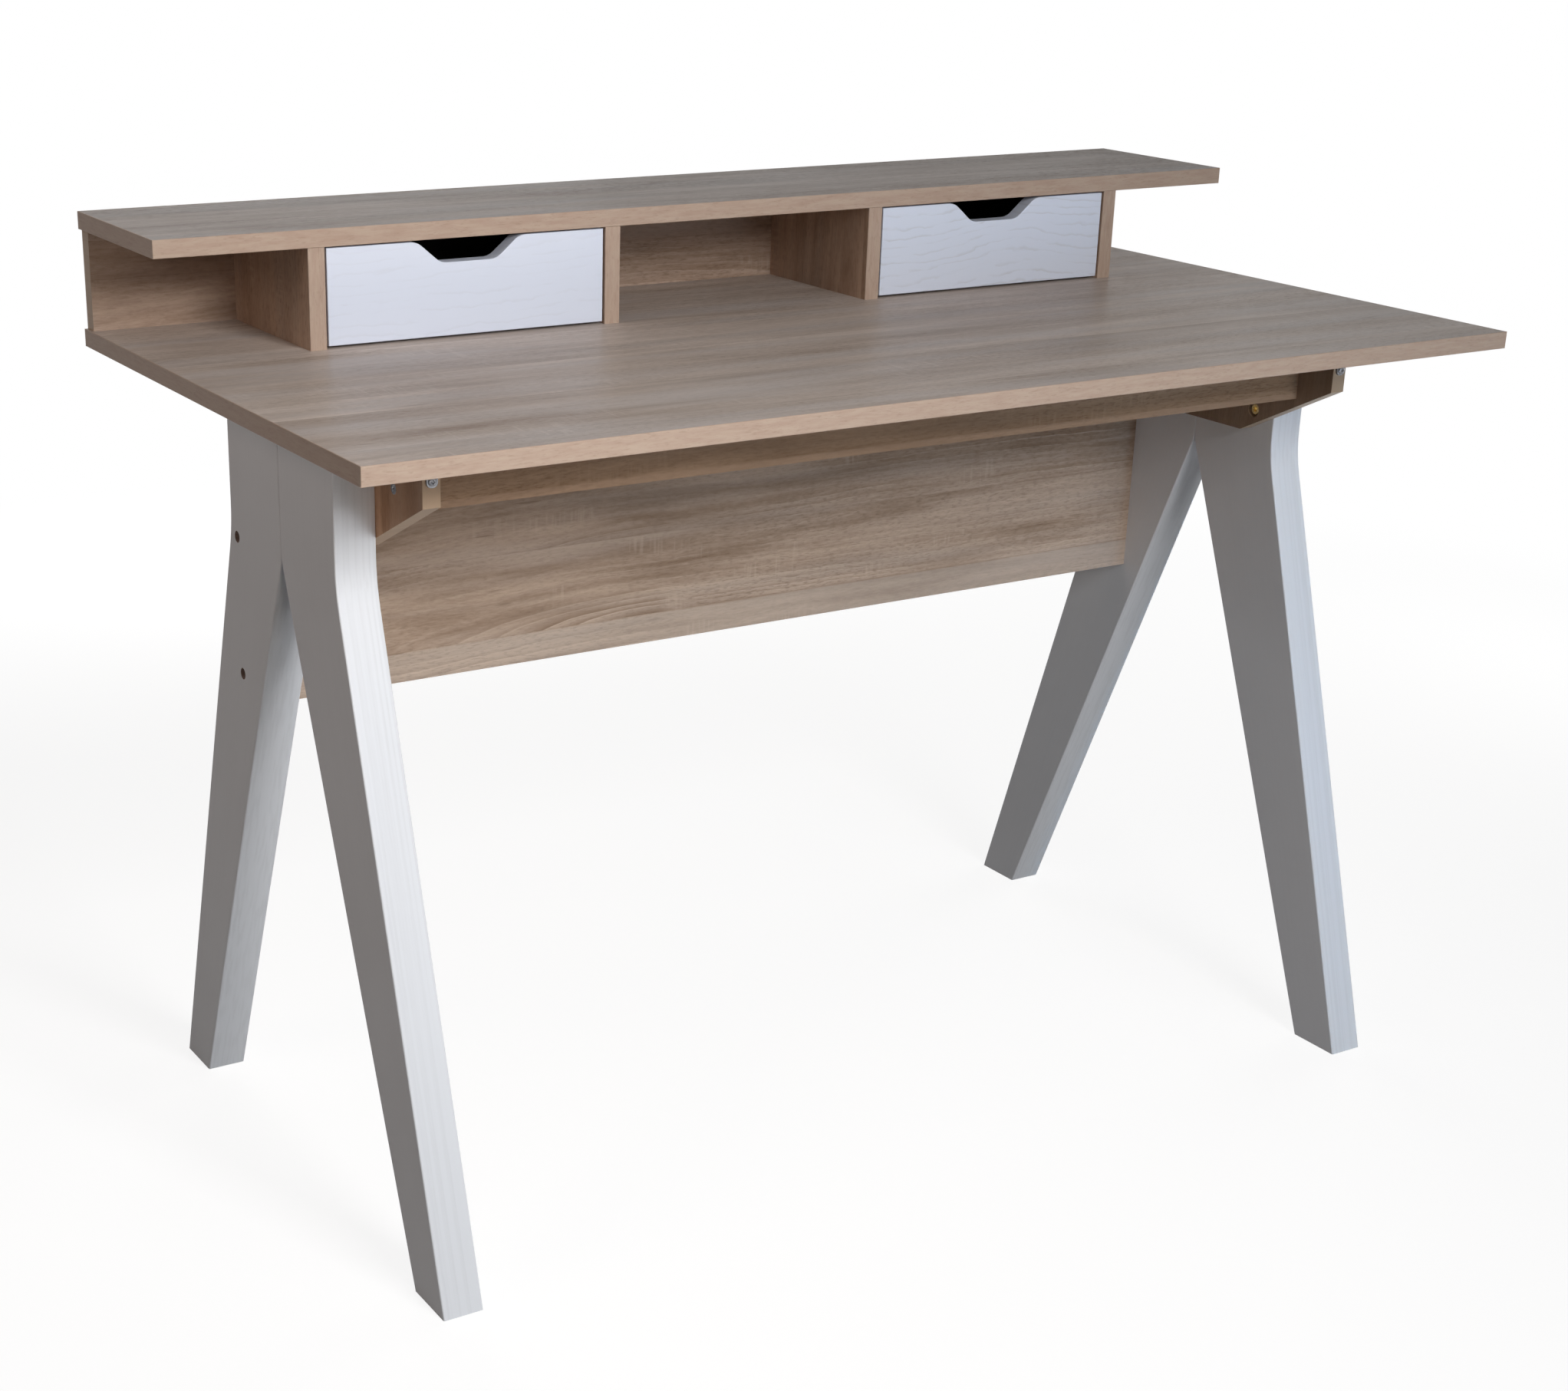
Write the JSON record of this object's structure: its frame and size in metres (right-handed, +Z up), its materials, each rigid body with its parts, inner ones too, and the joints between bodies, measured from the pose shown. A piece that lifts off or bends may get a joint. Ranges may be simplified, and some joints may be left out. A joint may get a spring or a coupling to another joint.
{
  "type": "desk",
  "caption": "Writing desk on splayed A-frame legs, with a low shelf unit along its back edge, sliding drawers with finger cut-outs beside open bays, and a modesty panel.",
  "frame": {"origin": "on the floor, under the middle of the desktop", "axes": "+X along the desk's width to the sitter's right, +Y from the front edge to the back edge, +Z up"},
  "size_m": [1.2, 0.6, 0.856],
  "materials": {
    "oak_board": "oak-look melamine board, satin, fine grain relief",
    "oak_edge_band": "oak-look edge band, satin",
    "white_leg": "white paint over open wood grain, matte",
    "white_board": "white board with a faint wavy grain, satin",
    "drawer_board": "black melamine board, satin",
    "hardboard": "thin hardboard, painted black",
    "beech_dowel": "fluted beech, raw",
    "zinc_steel": "zinc-plated steel",
    "yellow_zinc": "yellow-passivated zinc plate",
    "black_steel": "black oxide"
  },
  "bodies": {
    "desk": {"angle_screws": "zinc_steel", "bracket_bolts": "yellow_zinc", "bracket_dowels": "beech_dowel", "desktop": "oak_board", "desktop_angles": "zinc_steel", "desktop_back_edge_band": "oak_edge_band", "desktop_front_edge_band": "oak_edge_band", "desktop_left_edge_band": "oak_edge_band", "desktop_right_edge_band": "oak_edge_band", "front_rail": "oak_board", "hutch_back_panel": "oak_board", "hutch_dowels": "beech_dowel", "hutch_screws": "zinc_steel", "inner_left_divider": "oak_board", "inner_left_divider_edge_band": "oak_edge_band", "inner_right_divider": "oak_board", "inner_right_divider_edge_band": "oak_edge_band", "left_back_leg": "white_leg", "left_bracket": "oak_board", "left_front_leg": "white_leg", "leg_seam_dowels": "beech_dowel", "leg_threaded_sleeves": "yellow_zinc", "modesty_panel": "oak_board", "outer_left_divider": "oak_board", "outer_left_divider_edge_band": "oak_edge_band", "outer_right_divider": "oak_board", "outer_right_divider_edge_band": "oak_edge_band", "panel_bolts": "black_steel", "panel_cross_nuts": "yellow_zinc", "rail_screws": "zinc_steel", "right_back_leg": "white_leg", "right_bracket": "oak_board", "right_front_leg": "white_leg", "shelf": "oak_board", "shelf_back_edge_band": "oak_edge_band", "shelf_front_edge_band": "oak_edge_band", "shelf_left_edge_band": "oak_edge_band", "shelf_right_edge_band": "oak_edge_band"},
    "left_drawer": {"left_drawer_back": "drawer_board", "left_drawer_bottom": "hardboard", "left_drawer_dowels": "beech_dowel", "left_drawer_front": "white_board", "left_drawer_left_side": "drawer_board", "left_drawer_right_side": "drawer_board", "left_drawer_screws": "zinc_steel"},
    "right_drawer": {"right_drawer_back": "drawer_board", "right_drawer_bottom": "hardboard", "right_drawer_dowels": "beech_dowel", "right_drawer_front": "white_board", "right_drawer_left_side": "drawer_board", "right_drawer_right_side": "drawer_board", "right_drawer_screws": "zinc_steel"}
  },
  "joints": [
    {"name": "left_drawer_slide", "type": "slide", "parent": "desk", "child": "left_drawer", "axis": [0, -1, 0], "range_m": [0, 0.13]},
    {"name": "right_drawer_slide", "type": "slide", "parent": "desk", "child": "right_drawer", "axis": [0, -1, 0], "range_m": [0, 0.13]}
  ]
}
